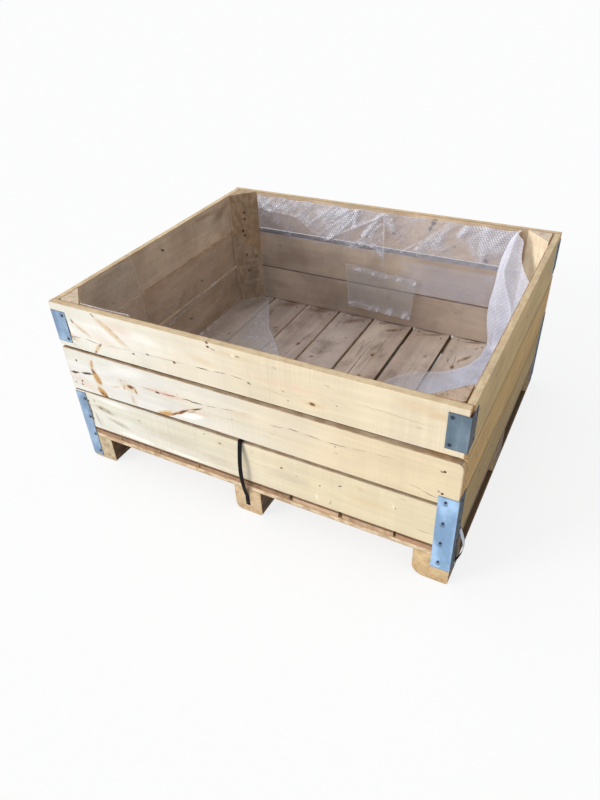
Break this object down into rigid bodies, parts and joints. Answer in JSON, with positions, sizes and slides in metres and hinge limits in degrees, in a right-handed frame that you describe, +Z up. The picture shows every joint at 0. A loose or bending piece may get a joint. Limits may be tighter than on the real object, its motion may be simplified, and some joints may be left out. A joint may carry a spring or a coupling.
{
  "type": "wooden pallet box",
  "caption": "Open nailed timber box on a pallet base with triangular corner posts, galvanised corner angles, fork pockets on all sides and a loose bubble film liner.",
  "frame": {"origin": "centre of the footprint on the surface that the runners stand on", "axes": "+Z up, +X along the long front side to the viewer's right, +Y from the front wall to the back wall"},
  "size_m": [1.2187, 1.0204, 0.572],
  "materials": {
    "front_timber": "sawn, pale and weathered",
    "wall_timber": "sawn, dusty",
    "deck_timber": "sawn, worn and stained",
    "base_timber": "sawn",
    "galvanised_sheet": "galvanised, dull",
    "nail_steel": "dull, rusty",
    "black_strap": "satin",
    "bubble_film": "clear, wrinkled",
    "clear_film": "clear, glossy"
  },
  "bodies": {
    "root": {"front_board_bottom": "front_timber", "front_board_middle": "front_timber", "front_board_top": "front_timber", "right_board_bottom": "wall_timber", "right_board_middle": "wall_timber", "right_board_top": "wall_timber", "back_board_bottom": "wall_timber", "back_board_middle": "wall_timber", "back_board_top": "wall_timber", "left_board_bottom": "wall_timber", "left_board_middle": "wall_timber", "left_board_top": "wall_timber", "post_front_left": "wall_timber", "post_front_right": "wall_timber", "post_back_right": "wall_timber", "post_back_left": "wall_timber", "small_angle_front_left": "galvanised_sheet", "small_angle_front_right": "galvanised_sheet", "small_angle_back_right": "galvanised_sheet", "small_angle_back_left": "galvanised_sheet", "tall_angle_front_left": "galvanised_sheet", "tall_angle_front_right": "galvanised_sheet", "tall_angle_back_right": "galvanised_sheet", "tall_angle_back_left": "galvanised_sheet", "deck_board_1": "deck_timber", "deck_board_2": "deck_timber", "deck_board_3": "deck_timber", "deck_board_4": "deck_timber", "deck_board_5": "deck_timber", "deck_board_6": "deck_timber", "deck_board_7": "deck_timber", "deck_board_8": "deck_timber", "cross_board_front": "base_timber", "cross_board_middle": "base_timber", "cross_board_back": "base_timber", "block_front_left": "base_timber", "block_front_middle": "base_timber", "block_front_right": "base_timber", "block_centre_left": "base_timber", "block_centre_middle": "base_timber", "block_centre_right": "base_timber", "block_back_left": "base_timber", "block_back_middle": "base_timber", "block_back_right": "base_timber", "runner_left": "base_timber", "runner_middle": "base_timber", "runner_right": "base_timber", "wall_nails": "nail_steel", "angle_nails": "nail_steel", "deck_nails": "nail_steel", "foot_nails": "nail_steel", "front_strap": "black_strap", "side_band": "galvanised_sheet", "liner_back": "bubble_film", "liner_left": "bubble_film", "liner_right": "bubble_film", "liner_patch": "clear_film"}
  },
  "joints": []
}
